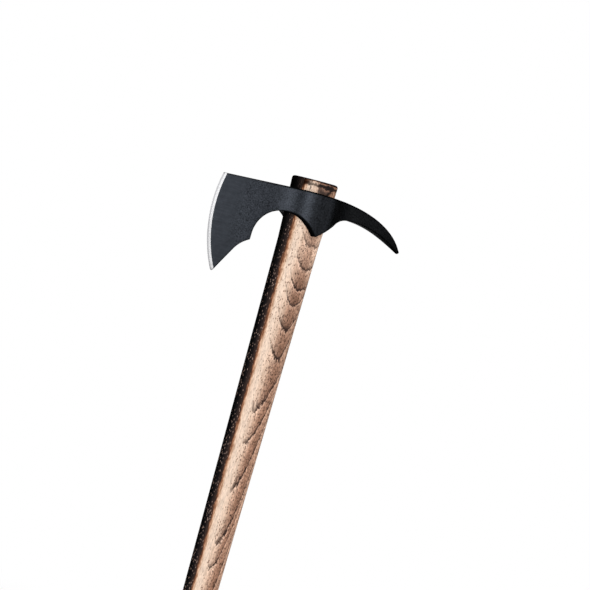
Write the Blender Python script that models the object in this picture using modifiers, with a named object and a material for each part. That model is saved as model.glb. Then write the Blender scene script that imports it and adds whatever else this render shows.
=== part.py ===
"""A spike hatchet: a forged head with a bearded blade and a drooping spike on a tapered oval handle.

The handle stands along +Z with the centre of its butt at the origin. The blade points to -X, the spike
to +X. The handle widens towards its top and holds the head by that taper alone, so the head comes off
by sliding down the handle and over the butt. Sizes are in metres.
"""
import math

import bmesh
import bpy
import numpy as np
from mathutils import Matrix, Vector

# Handle: depth is measured along X, width along Y
HANDLE_LENGTH = 0.4866
TOP_DEPTH = 0.0391
TOP_WIDTH = 0.0269
NECK_DEPTH = 0.0344
NECK_WIDTH = 0.0240
NECK_BELOW_TOP = 0.0511
BUTT_DEPTH = 0.0245
BUTT_WIDTH = 0.0180
END_ROUND = 0.0022

# Seat of the head on the handle
STUB_HEIGHT = 0.0103
SEAT_CLEARANCE = 0.0003
EYE_END_WALL = 0.0041
EYE_SIDE_WALL = 0.0070

# Blade: drops are measured down from the top of the head, reaches and insets out from the handle's axis
BLADE_REACH = 0.0815
EDGE_RADIUS = 0.0992
EDGE_CENTRE_DROP = 0.0277
EDGE_BEVEL = 0.0026
EDGE_THICKNESS = 0.0020
CHEEK_LENGTH = 0.0350
BLADE_THICKNESS = 0.0094
TOE_DROP = 0.0047
BROW_DROP = 0.0008
HEEL_DROP = 0.0797
BEARD_INSET = 0.0439
BEARD_DROP = 0.0481
BEARD_SLOPE = math.radians(28)
BEARD_BEND_RUN = 0.0108
BEARD_BEND_DROP = 0.0102
NOTCH_RADIUS = 0.0234
NECK_HEIGHT = 0.0197

# Langets, the points that run down both sides of the handle
LANGET_DROP = 0.0329
LANGET_LEAD = 0.0019
LANGET_FRONT_SLOPE = math.radians(46)
LANGET_REAR_SLOPE = math.radians(35)
LANGET_REAR_RUN = 0.0175
LANGET_END_SLOPE = math.radians(50)

# Spike
SPIKE_REACH = 0.0902
SPIKE_DROP = 0.0256
SPIKE_TIP = 0.0022
SPIKE_ROOT_HEIGHT = 0.0131
SPIKE_ROOT_THICKNESS = 0.0110
SPIKE_TOP_SLOPE = math.radians(50)
SPIKE_UNDER_SLOPE = math.radians(29)
SPIKE_SIDE_SLOPE = math.radians(23)
SPIKE_END_SLOPE = math.radians(35)

# Eye: where the flares of blade and spike leave its oval, round from the front, and how far they run
FRONT_FLARE_ANGLE = math.radians(45)
REAR_FLARE_ANGLE = math.radians(129)
FRONT_FLARE = 0.0140
REAR_FLARE = 0.0148

# Fineness of the surfaces, the reach of curve handles, how far a cutter passes what it cuts, and how far
# the cheeks' slope runs on past the blade root's thickness
HANDLE_SIDES = 72
END_ROUND_STEPS = 4
CURVE_STEPS = 10
DISC_STEPS = 180
SMOOTH_ANGLE = math.radians(25)
WELD_DISTANCE = 1e-6
PULL = 0.35
QUARTER_ARC_PULL = 0.5523
CUT_MARGIN = 0.008
CHEEK_MARGIN = 0.003

# Finishes: colour, roughness and metallic value
CHARRED_WOOD = ((0.62, 0.42, 0.28), 0.62, 0.0)
PHOSPHATED_STEEL = ((0.035, 0.039, 0.046), 0.5, 0.6)

# Places worked out from the sizes above
HEAD_TOP = HANDLE_LENGTH - STUB_HEIGHT
NECK_Z = HANDLE_LENGTH - NECK_BELOW_TOP


def handle_half(height):
    """Half depth and half width of the handle's plain taper at a height above its butt."""
    heights = (0, NECK_Z, HANDLE_LENGTH)
    depth = np.interp(height, heights, (BUTT_DEPTH, NECK_DEPTH, TOP_DEPTH))
    width = np.interp(height, heights, (BUTT_WIDTH, NECK_WIDTH, TOP_WIDTH))
    return depth / 2, width / 2


EYE_X = handle_half(HEAD_TOP)[0] + SEAT_CLEARANCE + EYE_END_WALL
EYE_Y = handle_half(HEAD_TOP)[1] + SEAT_CLEARANCE + EYE_SIDE_WALL


def clear_scene():
    for item in list(bpy.data.objects):
        bpy.data.objects.remove(item)


def new_collection(name):
    collection = bpy.data.collections.new(name)
    bpy.context.scene.collection.children.link(collection)
    return collection


def new_material(name, colour, roughness, metallic):
    material = bpy.data.materials.new(name)
    material.use_nodes = True
    shader = material.node_tree.nodes["Principled BSDF"]
    shader.inputs["Base Color"].default_value = (*colour, 1.0)
    shader.inputs["Roughness"].default_value = roughness
    shader.inputs["Metallic"].default_value = metallic
    return material


def add_object(name, data, collection, location=(0, 0, 0)):
    item = bpy.data.objects.new(name, data)
    item.location = location
    collection.objects.link(item)
    return item


def add_cutter(name, mesh, collection, location=(0, 0, 0)):
    cutter = add_object(name, mesh, collection, location)
    cutter.hide_render = True
    cutter.display_type = "WIRE"
    return cutter


def take_mesh(item):
    """The evaluated shape of an object as a welded mesh with its faces pointing out; the object goes."""
    depsgraph = bpy.context.evaluated_depsgraph_get()
    mesh = bpy.data.meshes.new_from_object(item.evaluated_get(depsgraph))
    work = bmesh.new()
    work.from_mesh(mesh)
    bmesh.ops.remove_doubles(work, verts=work.verts, dist=WELD_DISTANCE)
    bmesh.ops.recalc_face_normals(work, faces=work.faces)
    work.to_mesh(mesh)
    work.free()
    bpy.data.objects.remove(item)
    return mesh


def finish_mesh(mesh, material):
    mesh.shade_smooth()
    mesh.set_sharp_from_angle(angle=SMOOTH_ANGLE)
    mesh.materials.append(material)


class Outline:
    """A closed outline of straight and cubic stretches, drawn from point to point."""

    def __init__(self, start):
        self.knots = [Vector(start)]
        self.handles_out = []
        self.handles_in = []

    def curve(self, handle_out, handle_in, end):
        self.handles_out.append(Vector(handle_out))
        self.handles_in.append(Vector(handle_in))
        self.knots.append(Vector(end))

    def line(self, end):
        start = self.knots[-1]
        self.curve(start.lerp(Vector(end), 1 / 3), start.lerp(Vector(end), 2 / 3), end)

    def solid(self, name, half_thickness):
        """The outline closed, filled and extruded both ways along Z, as a mesh."""
        self.line(self.knots[0])
        curve = bpy.data.curves.new(name, "CURVE")
        curve.dimensions = "2D"
        curve.fill_mode = "BOTH"
        curve.extrude = half_thickness
        curve.resolution_u = CURVE_STEPS
        spline = curve.splines.new("BEZIER")
        spline.bezier_points.add(len(self.knots) - 2)
        spline.use_cyclic_u = True
        for index, point in enumerate(spline.bezier_points):
            point.handle_left_type = "FREE"
            point.handle_right_type = "FREE"
            point.co = self.knots[index].to_3d()
            point.handle_left = self.handles_in[index - 1].to_3d()
            point.handle_right = self.handles_out[index].to_3d()
        return take_mesh(add_object(name, curve, bpy.context.scene.collection))


def oval_loft(name, sections):
    """A solid through level oval sections, each a height with its half depth and half width."""
    work = bmesh.new()
    rings = []
    for height, half_depth, half_width in sections:
        place = Matrix.Translation((0, 0, height)) @ Matrix.Diagonal((half_depth, half_width, 1, 1))
        ring = bmesh.ops.create_circle(work, segments=HANDLE_SIDES, radius=1, matrix=place)
        rings.append(ring["verts"])
    loops = [{edge for vert in ring for edge in vert.link_edges} for ring in rings]
    for lower, upper in zip(loops, loops[1:]):
        bmesh.ops.bridge_loops(work, edges=list(lower | upper))
    work.faces.new(rings[0])
    work.faces.new(rings[-1])
    bmesh.ops.recalc_face_normals(work, faces=work.faces)
    mesh = bpy.data.meshes.new(name)
    work.to_mesh(mesh)
    work.free()
    return mesh


def rounded_end(end_height, outward):
    """Sections that round one end of the handle, from its end face to its plain taper."""
    sections = []
    for step in range(END_ROUND_STEPS + 1):
        angle = math.pi / 2 * step / END_ROUND_STEPS
        height = end_height - outward * END_ROUND * (1 - math.cos(angle))
        inset = END_ROUND * (1 - math.sin(angle))
        half_depth, half_width = handle_half(height)
        sections.append((height, half_depth - inset, half_width - inset))
    return sections


def make_handle(collection):
    neck = (NECK_Z, *handle_half(NECK_Z))
    mesh = oval_loft("handle", rounded_end(0, -1) + [neck] + rounded_end(HANDLE_LENGTH, 1)[::-1])
    finish_mesh(mesh, new_material("charred_wood", *CHARRED_WOOD))
    add_object("handle", mesh, collection)


def along(start, angle, length):
    return Vector(start) + Vector((math.cos(angle), math.sin(angle))) * length


def edge_point(drop):
    """The point of the cutting edge's arc at a drop below the top of the head."""
    reach = math.sqrt(EDGE_RADIUS ** 2 - (drop - EDGE_CENTRE_DROP) ** 2)
    return Vector((EDGE_RADIUS - BLADE_REACH - reach, -drop))


def side_solid():
    """The head seen from the side, blade to the left, with the top of the eye at zero."""
    toe = edge_point(TOE_DROP)
    heel = edge_point(HEEL_DROP)
    brow = Vector((-EYE_X, -BROW_DROP))
    crown = Vector((0, 0))
    spike_start = Vector((EYE_X, 0))
    spike_top = Vector((SPIKE_REACH, -SPIKE_DROP))
    spike_low = along(spike_top, math.pi + SPIKE_END_SLOPE, SPIKE_TIP)
    root = Vector((EYE_X + REAR_FLARE, -SPIKE_ROOT_HEIGHT))
    langet = Vector((LANGET_LEAD, -LANGET_DROP))
    langet_rear = along(langet, LANGET_REAR_SLOPE, LANGET_REAR_RUN / math.cos(LANGET_REAR_SLOPE))
    notch_top = Vector((NOTCH_RADIUS - BEARD_INSET, -NECK_HEIGHT))
    notch_side = Vector((-BEARD_INSET, -NECK_HEIGHT - NOTCH_RADIUS))
    beard = Vector((-BEARD_INSET, -BEARD_DROP))
    bend = beard - Vector((BEARD_BEND_RUN, BEARD_BEND_DROP))
    blade_way = (brow - toe).normalized()
    heel_way = (heel - bend).normalized()
    right = Vector((1, 0))
    up = Vector((0, 1))

    outline = Outline(toe - blade_way * CUT_MARGIN)
    outline.line(brow)
    pull = PULL * EYE_X
    outline.curve(brow + blade_way * pull, crown - right * pull, crown)
    outline.line(spike_start)
    pull = PULL * (SPIKE_REACH - EYE_X)
    outline.curve(spike_start + right * pull, along(spike_top, math.pi - SPIKE_TOP_SLOPE, pull), spike_top)
    outline.line(spike_low)
    pull = PULL * (SPIKE_REACH - root.x)
    outline.curve(along(spike_low, math.pi - SPIKE_UNDER_SLOPE, pull), root + right * pull, root)
    pull = PULL * (root - langet_rear).length
    outline.curve(root - right * pull, along(langet_rear, LANGET_END_SLOPE, pull), langet_rear)
    outline.line(langet)
    pull = PULL * (langet - notch_top).length
    outline.curve(along(langet, math.pi - LANGET_FRONT_SLOPE, pull), notch_top + right * pull, notch_top)
    pull = QUARTER_ARC_PULL * NOTCH_RADIUS
    outline.curve(notch_top - right * pull, notch_side + up * pull, notch_side)
    outline.line(beard)
    pull = PULL * (beard - bend).length
    outline.curve(along(beard, math.pi + BEARD_SLOPE, pull), bend - heel_way * pull, bend)
    outline.line(heel + heel_way * CUT_MARGIN)
    return outline.solid("head_side", EYE_Y + CUT_MARGIN)


def eye_point(angle):
    """A point of the eye's outer oval, seen from above, and the way the oval runs there."""
    point = Vector((-EYE_X * math.cos(angle), EYE_Y * math.sin(angle)))
    run = Vector((EYE_X * math.sin(angle), EYE_Y * math.cos(angle)))
    return point, run


def plan_solid():
    """The head seen from above: level blade root, oval eye and tapering spike."""
    front, front_run = eye_point(FRONT_FLARE_ANGLE)
    crown, crown_run = eye_point(math.pi / 2)
    rear, rear_run = eye_point(REAR_FLARE_ANGLE)
    blade_root = Vector((-EYE_X - FRONT_FLARE, BLADE_THICKNESS / 2))
    spike_root = Vector((EYE_X + REAR_FLARE, SPIKE_ROOT_THICKNESS / 2))
    tip = Vector((SPIKE_REACH, SPIKE_TIP / 2))
    right = Vector((1, 0))

    half = Outline((-BLADE_REACH - CUT_MARGIN, BLADE_THICKNESS / 2))
    half.line(blade_root)
    pull = PULL * (front - blade_root).length
    half.curve(blade_root + right * pull, front - front_run.normalized() * pull, front)
    share = QUARTER_ARC_PULL * (1 - FRONT_FLARE_ANGLE / (math.pi / 2))
    half.curve(front + front_run * share, crown - crown_run * share, crown)
    share = QUARTER_ARC_PULL * (REAR_FLARE_ANGLE / (math.pi / 2) - 1)
    half.curve(crown + crown_run * share, rear - rear_run * share, rear)
    pull = PULL * (spike_root - rear).length
    half.curve(rear + rear_run.normalized() * pull, spike_root - right * pull, spike_root)
    pull = PULL * (tip - spike_root).length
    half.curve(spike_root + right * pull, along(tip, math.pi - SPIKE_SIDE_SLOPE, pull), tip)

    whole = Outline(half.knots[0])
    for out, into, knot in zip(half.handles_out, half.handles_in, half.knots[1:]):
        whole.curve(out, into, knot)
    flip = Vector((1, -1))
    whole.line(tip * flip)
    for out, into, knot in zip(half.handles_in[::-1], half.handles_out[::-1], half.knots[-2::-1]):
        whole.curve(out * flip, into * flip, knot * flip)
    return whole.solid("head_plan", HEEL_DROP)


def edge_disc():
    """A disc with a ground rim, turned about the centre of the cutting edge's arc."""
    half_edge = EDGE_THICKNESS / 2
    slope = (BLADE_THICKNESS - EDGE_THICKNESS) / 2 / (CHEEK_LENGTH - EDGE_BEVEL)
    knee_depth = CHEEK_LENGTH + CHEEK_MARGIN
    knee_half = half_edge + slope * (knee_depth - EDGE_BEVEL)
    knee_radius = EDGE_RADIUS - knee_depth
    top = EYE_Y + CUT_MARGIN
    upper = [(0, top), (knee_radius, top), (knee_radius, knee_half), (EDGE_RADIUS - EDGE_BEVEL, half_edge)]
    lower = [(radius, -height) for radius, height in upper[::-1]]
    profile = [(radius, 0, height) for radius, height in upper + [(EDGE_RADIUS, 0)] + lower]
    mesh = bpy.data.meshes.new("edge_disc")
    mesh.from_pydata(profile, [(index, index + 1) for index in range(len(profile) - 1)], [])
    item = add_object("edge_disc", mesh, bpy.context.scene.collection)
    screw = item.modifiers.new("turn", "SCREW")
    screw.axis = "Z"
    screw.steps = DISC_STEPS
    screw.render_steps = DISC_STEPS
    screw.use_merge_vertices = True
    screw.merge_threshold = WELD_DISTANCE
    return take_mesh(item)


def eye_hole():
    """The handle's taper, grown by the clearance of its seat."""
    sections = []
    for height in (0, NECK_Z, HANDLE_LENGTH):
        half_depth, half_width = handle_half(height)
        sections.append((height, half_depth + SEAT_CLEARANCE, half_width + SEAT_CLEARANCE))
    return oval_loft("eye_hole", sections)


def cut(item, cutter, operation):
    modifier = item.modifiers.new(cutter.name, "BOOLEAN")
    modifier.operation = operation
    modifier.solver = "EXACT"
    modifier.object = cutter


def make_head(collection, cutters):
    upright = Matrix.Rotation(math.pi / 2, 4, "X")
    side = side_solid()
    side.transform(upright)
    disc = edge_disc()
    disc.transform(upright)
    eye_top = (0, 0, HEAD_TOP)
    plan_middle = (0, 0, HEAD_TOP - HEEL_DROP + CUT_MARGIN)
    edge_centre = (EDGE_RADIUS - BLADE_REACH, 0, HEAD_TOP - EDGE_CENTRE_DROP)

    blank = add_object("head_blank", side, collection, eye_top)
    cut(blank, add_cutter("plan_cutter", plan_solid(), cutters, plan_middle), "INTERSECT")
    cut(blank, add_cutter("edge_cutter", disc, cutters, edge_centre), "INTERSECT")
    cut(blank, add_cutter("eye_cutter", eye_hole(), cutters), "DIFFERENCE")
    mesh = take_mesh(blank)
    finish_mesh(mesh, new_material("phosphated_steel", *PHOSPHATED_STEEL))
    add_object("head", mesh, collection, eye_top)


def main():
    clear_scene()
    parts = new_collection("hatchet")
    cutters = new_collection("hatchet_cutters")
    make_handle(parts)
    make_head(parts, cutters)


main()
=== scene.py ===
"""Looks of the spike hatchet: the forged head and the charred wooden handle, dressed for the render.

Both pieces replace their plain solids with finer meshes of the same sizes. Sizes are in metres, in the
part's own frame: +Z up the handle from the centre of its butt, blade towards -X, spike towards +X.
"""
import math

import bmesh
import bpy
import numpy as np
from mathutils import Matrix, Vector
from mathutils.geometry import delaunay_2d_cdt, interpolate_bezier


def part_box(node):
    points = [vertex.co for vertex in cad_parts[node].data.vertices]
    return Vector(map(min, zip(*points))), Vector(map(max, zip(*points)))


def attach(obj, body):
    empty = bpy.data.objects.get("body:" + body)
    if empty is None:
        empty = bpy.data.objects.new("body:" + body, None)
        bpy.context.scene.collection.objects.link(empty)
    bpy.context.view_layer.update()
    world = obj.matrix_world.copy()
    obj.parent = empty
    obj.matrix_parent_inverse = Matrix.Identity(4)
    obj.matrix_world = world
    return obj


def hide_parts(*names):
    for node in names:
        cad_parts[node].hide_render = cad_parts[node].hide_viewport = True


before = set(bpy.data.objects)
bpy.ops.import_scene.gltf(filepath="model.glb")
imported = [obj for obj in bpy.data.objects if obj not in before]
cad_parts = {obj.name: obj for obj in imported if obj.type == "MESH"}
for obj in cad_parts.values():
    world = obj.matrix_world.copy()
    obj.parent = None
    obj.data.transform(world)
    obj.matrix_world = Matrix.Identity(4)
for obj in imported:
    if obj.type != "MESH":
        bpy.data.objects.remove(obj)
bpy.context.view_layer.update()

HANDLE_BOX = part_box("handle")
HEAD_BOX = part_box("head")


def srgb(red, green, blue):
    """A display colour from 0 to 255 as the linear colour of a shader."""
    return tuple(((value / 255 + 0.055) / 1.055) ** 2.4 for value in (red, green, blue))


# Handle: depth is measured along X, width along Y
HANDLE_LENGTH = HANDLE_BOX[1].z
TAPER_CHANGE_DROP = 0.0511
SECTION_HEIGHTS = (0, HANDLE_LENGTH - TAPER_CHANGE_DROP, HANDLE_LENGTH)
SECTION_DEPTHS = (0.0245, 0.0344, 0.0391)
SECTION_WIDTHS = (0.0180, 0.0240, 0.0269)
END_ROUND = 0.0022
TOP_SLANT = 0.0012
TOP_SLANT_DEPTH = 0.008
HANDLE_SIDES = 224
HANDLE_ROWS = 260
END_STEPS = 6
CAP_SHARES = (0.2, 0.4, 0.6, 0.8)
CAP_CENTRE_ANGLE = 90.0
SIDE_ANGLES = np.linspace(0, 2 * math.pi, HANDLE_SIDES, endpoint=False)

# Head: drops are measured down from its top, reaches and insets out from the handle's axis
HEAD_TOP = HEAD_BOX[1].z
BLADE_REACH = -HEAD_BOX[0].x
SPIKE_REACH = HEAD_BOX[1].x
HEEL_DROP = HEAD_BOX[1].z - HEAD_BOX[0].z
EYE_X = 0.02345
EYE_Y = HEAD_BOX[1].y
SEAT_CLEARANCE = 0.0003
EDGE_RADIUS = 0.0992
EDGE_CENTRE_DROP = 0.0277
EDGE_CENTRE = Vector((EDGE_RADIUS - BLADE_REACH, -EDGE_CENTRE_DROP))
EDGE_BEVEL = 0.0026
EDGE_THICKNESS = 0.0020
BLADE_THICKNESS = 0.0114
TOE_DROP = 0.0047
BROW_DROP = 0.0008
BEARD_INSET = 0.0439
BEARD_DROP = 0.0481
BEARD_SLOPE = math.radians(28)
BEARD_BEND_RUN = 0.0108
BEARD_BEND_DROP = 0.0102
NOTCH_RADIUS = 0.0234
NECK_HEIGHT = 0.0197
LANGET_DROP = 0.0329
LANGET_LEAD = 0.0019
LANGET_FRONT_SLOPE = math.radians(46)
LANGET_REAR_SLOPE = math.radians(35)
LANGET_REAR_RUN = 0.0175
LANGET_END_SLOPE = math.radians(50)
SPIKE_DROP = 0.0256
SPIKE_TIP = 0.0022
SPIKE_ROOT_HEIGHT = 0.0131
SPIKE_ROOT_THICKNESS = 0.0110
SPIKE_TOP_SLOPE = math.radians(50)
SPIKE_UNDER_SLOPE = math.radians(29)
SPIKE_SIDE_SLOPE = math.radians(23)
SPIKE_END_SLOPE = math.radians(35)
FRONT_FLARE_ANGLE = math.radians(45)
REAR_FLARE_ANGLE = math.radians(129)
FRONT_FLARE = 0.0165
REAR_FLARE = 0.0148
PULL = 0.35
QUARTER_ARC_PULL = 0.5523

# Finer shapes of the head that only the looks have
EDGE_ROUND = 0.0008
ROUND_SHARE = 0.45
ROUND_STEPS = 4
ROUND_CLEAR_SHARE = 0.97
TOE_ROUND = 0.0010
HEEL_ROUND = 0.0022
HONED_BEVEL = 0.0010
HONED_THICKNESS = 0.0009
CREASES = (HONED_BEVEL, EDGE_BEVEL)
EDGE_LINE = 0.0001
NECK_BLEND = (-0.052, -0.034)
EYE_CHAMFER = 0.0008
CURVE_STEP = 0.0009
GRID_STEP = 0.0013
NET_INSIDE_ONLY = 1
NET_TOLERANCE = 1e-7
CUT_MARGIN = 0.002
CREASE_REACH = 0.00001
SMOOTH_ANGLE = math.radians(28)

# Growth rings: surfaces that lean across the handle, and turn, curl and fold more or less by height
RING_HEIGHTS = (0, 0.140, 0.280, 0.322, 0.345, 0.405)
RING_LEANS = (17.0, 11.0, 6.0, 6.0, 6.0, 6.0)
RING_TURNS = (0.2, -0.3, -0.3, -0.3, 1.0, 1.0)
RING_CURLS = (0, 0, 0, 0, -325, 160)
RING_FOLDS = (0.6, 1.3, 1.3, 1.3, 0, 0)
RING_CURL_REACH = 0.004
RING_FOLD_REACH = -0.0046

# Marks: heights of the rings' dark lines at one angle from the front edge, a little above their rings' starts
RING_MARK_ANGLE = math.radians(104)
RING_MARKS = (0.3135, 0.3455, 0.3688, 0.3890, 0.4015, 0.4180, 0.4360)
RING_MARK_RISE = 0.0008

# Levels of the rings beyond the marks, which are spaced unevenly from the lower one down
LOWER_RING = 0.3412
UPPER_RINGS = (0.5315, 0.5560, 0.5800)
RING_SPACING = 0.0235
RING_UNEVENNESS = 0.45
RING_BEAT = 2.3
RING_LOWEST = -0.220

# Sizes of the wood's marks along X, Y and Z
HAIR_CELL = (0.0006, 0.0006, 0.0030)
FIBRE_CELL = (0.0010, 0.0010, 0.0060)
FIGURE_CELL = (0.0018, 0.0018, 0.0018)
STREAK_CELL = (0.0022, 0.0022, 0.045)
PATCH_CELL = (0.005, 0.005, 0.018)
BLOTCH_CELL = (0.0025, 0.0025, 0.0030)
PORE_CELL = (0.0009, 0.0009, 0.0024)
FLECK_CELL = (0.0009, 0.0009, 0.0024)
CHAR_CELL = (0.0005, 0.0005, 0.0016)
SOOT_CELL = (0.0010, 0.0010, 0.0010)
ARCH_CELL = (0.0014, 0.0014, 0.0020)

# Noise and dashes: the part of the noise that is spread out, and where a dash ends, in cells from its centre
NOISE_SPREAD = (0.3, 0.7)
DASH_LIMITS = (0.22, 0.40)

# Wood: colours by the angle from the front edge in degrees, with factors on them by height and within a ring
WOOD_ROUGHNESS = (0.55, 0.85)
WOOD_RELIEF = 0.0003
FIBRE_RELIEF = 0.3
PORE_RELIEF = 0.6
CHAR_RELIEF = 1.5
HEAD_FADE = (0.404, 0.432)
END_PORE_FADE = (HEAD_TOP - 0.002, HEAD_TOP + 0.001)
WOOD_COLOURS = (
    (45.0, srgb(224, 198, 177)), (60.0, srgb(226, 203, 184)), (75.0, srgb(228, 199, 177)),
    (86.0, srgb(218, 183, 160)), (100.0, srgb(184, 146, 124)), (114.0, srgb(180, 142, 120)),
    (132.0, srgb(219, 181, 157)), (150.0, srgb(225, 191, 169)),
)
WOOD_LIGHT = (
    (0.318, (1.25, 1.25, 1.25)), (0.345, (1.00, 1.00, 1.00)),
    (HEAD_FADE[0], (1.00, 1.00, 1.00)), (HEAD_FADE[1], (1.39, 1.50, 1.56)),
)
RING_SHADES = (
    (0.00, (0.46, 0.41, 0.39)), (0.20, (0.48, 0.43, 0.41)), (0.55, (0.60, 0.55, 0.52)),
    (0.86, (0.74, 0.70, 0.68)), (0.93, (0.98, 0.98, 0.98)), (0.98, (1.06, 1.08, 1.10)),
    (1.00, (0.80, 0.75, 0.72)),
)
RING_LINE_COLOUR = srgb(50, 40, 38)
FRONT_PORE_COLOUR = srgb(104, 60, 34)
BACK_PORE_COLOUR = srgb(50, 37, 34)
STREAK_SHAKE = 20.0
RING_JAG = 0.38
RING_SWAY = 0.14

# End above the head: depths below its top, angles in degrees, slants in degrees to a metre of depth
END_LIMIT = (0.011, 0.014)
END_DEPTH_SHAKE = 0.0030
END_ANGLE_SHAKE = 8.0
PALER_FACTOR = (1.12, 1.12, 1.12)
SINGE_DEPTHS = (0.0012, 0.0040)
SINGE_FACTOR = (0.38, 0.30, 0.26)
SMOKE_SLANT = 3000.0
SMOKE_FACTOR = (0.12, 0.09, 0.085)
FOOT_SLANT = 2000.0
FOOT_DEPTH = 0.0045
FOOT_ANGLE = 121.0
FOOT_SIDES = (119.0, 125.0)
BEHIND_FOOT_FACTOR = (0.78, 0.67, 0.60)
ARCH_COLOUR = srgb(132, 100, 84)
LOW_ARCH_COLOUR = srgb(58, 47, 44)
ARCH_PATCH_COLOUR = srgb(58, 46, 44)
ARCH_STRENGTH = 0.85
SOOT_DEPTH = 0.0043
SOOT_UNIT = 0.0025
SOOT_REACHES = (
    (40.0, 0.55), (56.0, 0.60), (64.0, 0.40), (74.0, 0.40), (82.0, 0.55), (106.0, 0.66), (118.0, 0.95),
    (128.0, 0.50), (150.0, 0.45),
)
SOOT_SHAKE = 1.1
FRONT_SOOT_COLOUR = srgb(48, 34, 29)
SOOT_COLOUR = srgb(26, 23, 24)
CHECK_ANGLE = 61.0

# Char: its burn is counted in degrees, from the front edge or from beyond the back edge
BACK_CHAR_ANGLE = 196.0
BURN_SHAKES = ((PATCH_CELL, 10.0), (FIBRE_CELL, 13.0), (HAIR_CELL, 9.0))
RIM_SHAKE = 0.0018
RIM_DEPTHS = (0.0009, 0.0026)
RIM_BURNS = (24.0, 60.0)
END_FACE_BURN = 20.0
CHAR_LIMIT = (33.0, 39.0)
CHAR_BORDER = (
    (35.0, (0.08, 0.045, 0.035)), (38.5, (0.25, 0.135, 0.090)), (42.0, (0.50, 0.32, 0.23)),
    (46.0, (0.85, 0.74, 0.66)), (51.0, (1.00, 1.00, 1.00)),
)
CHAR_COLOURS = ((6.0, srgb(7, 7, 7)), (22.0, srgb(26, 23, 24)), (34.0, srgb(58, 45, 40)))
CHAR_END_LIMIT = (0.009, 0.013)
FLECK_COLOUR = srgb(158, 132, 120)
END_RING_COLOUR = srgb(60, 48, 43)
END_RING_SHAKE = 0.5

# Steel: levels and blueness at places along X, partly the finish and partly painted light and shade, and the
# sizes of its marks along X, Y and Z
# The paler cheeks are the ground finish; the peaks at -0.011 and 0.008 are painted highlights, the dips at
# -0.016 and behind the eye are painted shade, and the spike's near-black is partly painted shade
STEEL_TONES_AND_PAINTED_LIGHT = (
    (-BLADE_REACH, 0.0345, 0.20), (-0.050, 0.0290, 0.20), (-0.036, 0.0220, 0.20), (-0.030, 0.0205, 0.20),
    (-0.022, 0.0235, 0.20), (-0.016, 0.0185, 0.20), (-0.011, 0.0245, 0.20), (-0.005, 0.0158, 0.18),
    (0.000, 0.0145, 0.16), (0.008, 0.0205, 0.14), (0.012, 0.0145, 0.09), (0.016, 0.0092, 0.04),
    (0.022, 0.0078, 0.03), (0.029, 0.0088, 0.08), (0.034, 0.0100, 0.08), (0.050, 0.0080, 0.08),
    (SPIKE_REACH, 0.0070, 0.08),
)
RED_LOSS = 0.55
GRAIN_CELL = (0.0008, 0.0008, 0.0008)
MOTTLE_CELL = (0.004, 0.004, 0.004)
BRUSH_CELL = (0.012, 0.004, 0.00035)
GRIND_CELL = (0.006, 0.006, 0.00025)
# Painted shade: the near-black line on the head's up-facing top edge
TOP_SHADE_COLOUR = (0.0008, 0.0008, 0.0009)
BEVEL_COLOUR = (0.34, 0.34, 0.345)
HONED_COLOUR = (0.21, 0.21, 0.215)
BEVEL_BLUR = 0.0001
# Painted light and shade: the bevel is darker above this drop and brighter down to the heel, against how the
# lamps light its curve
BEVEL_PAINTED_LIGHT_DROP = 0.044
STEEL_SPECULAR_TINT = (0.33, 0.33, 0.33)
STEEL_ROUGHNESS = (0.44, 0.54)
BEVEL_ROUGHNESS = (0.38, 0.46)
STEEL_RELIEF = 0.00006

# Camera: the photograph's view, which leans the handle to the right
CAMERA_AZIMUTH = math.radians(-30)
CAMERA_ROLL = math.radians(15.7)
CAMERA_DISTANCE = 2.0
FRAME_PIXELS = 590
METRES_PER_PIXEL = 0.00077
SENSOR_WIDTH = 36.0
AIM_POINT = Vector((0, 0, 0.4767))
AIM_PIXEL = (312.3, 192.1)

# Stage and light
WHITE = (1.0, 1.0, 1.0)
FLOOR_DROP = 0.12
FLOOR_RADIUS = 2.2
FLOOR_SIDES = 96
FLOOR_FADE = (0.5, 1.9)
FLOOR_COLOUR = (0.86, 0.86, 0.86)
FLOOR_ROUGHNESS = 0.9
FLOOR_SPECULAR = 0.1
AMBIENT = 0.38
SOFTBOX_WIDTH = 1.0
SOFTBOX_HEIGHT = 1.5
SOFTBOX_DISTANCE = 2.2
SOFTBOX_ELEVATION = math.radians(6)
KEY_AZIMUTH = math.radians(-20)
KEY_RADIANCE = 8.0
BACK_AZIMUTH = math.radians(200)
BACK_RADIANCE = 6.0
SIDE_AZIMUTH = math.radians(95)
SIDE_RADIANCE = 2.5


def smooth_step(value, low, high):
    """A smooth rise from 0 at low to 1 at high."""
    share = np.clip((value - low) / (high - low), 0, 1)
    return share * share * (3 - 2 * share)


def new_object(name, data):
    item = bpy.data.objects.new(name, data)
    bpy.context.scene.collection.objects.link(item)
    return item


def new_mesh(name, vertices, faces):
    """A mesh with its faces pointing out."""
    mesh = bpy.data.meshes.new(name)
    mesh.from_pydata([tuple(point) for point in vertices], [], faces)
    work = bmesh.new()
    work.from_mesh(mesh)
    bmesh.ops.recalc_face_normals(work, faces=work.faces)
    work.to_mesh(mesh)
    work.free()
    return mesh


def ring_faces(rings):
    """Faces that join this many rings of HANDLE_SIDES points, each to the next one up."""
    faces = []
    for low in range(0, (rings - 1) * HANDLE_SIDES, HANDLE_SIDES):
        high = low + HANDLE_SIDES
        for side in range(HANDLE_SIDES):
            after = (side + 1) % HANDLE_SIDES
            faces.append((low + side, low + after, high + after, high + side))
    return faces


def points_of(mesh):
    points = np.empty(len(mesh.vertices) * 3, np.float32)
    mesh.vertices.foreach_get("co", points)
    return points.reshape(-1, 3).astype(float)


def set_attribute(mesh, name, values):
    attribute = mesh.attributes.new(name, "FLOAT", "POINT")
    attribute.data.foreach_set("value", np.asarray(values, np.float32))


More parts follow.
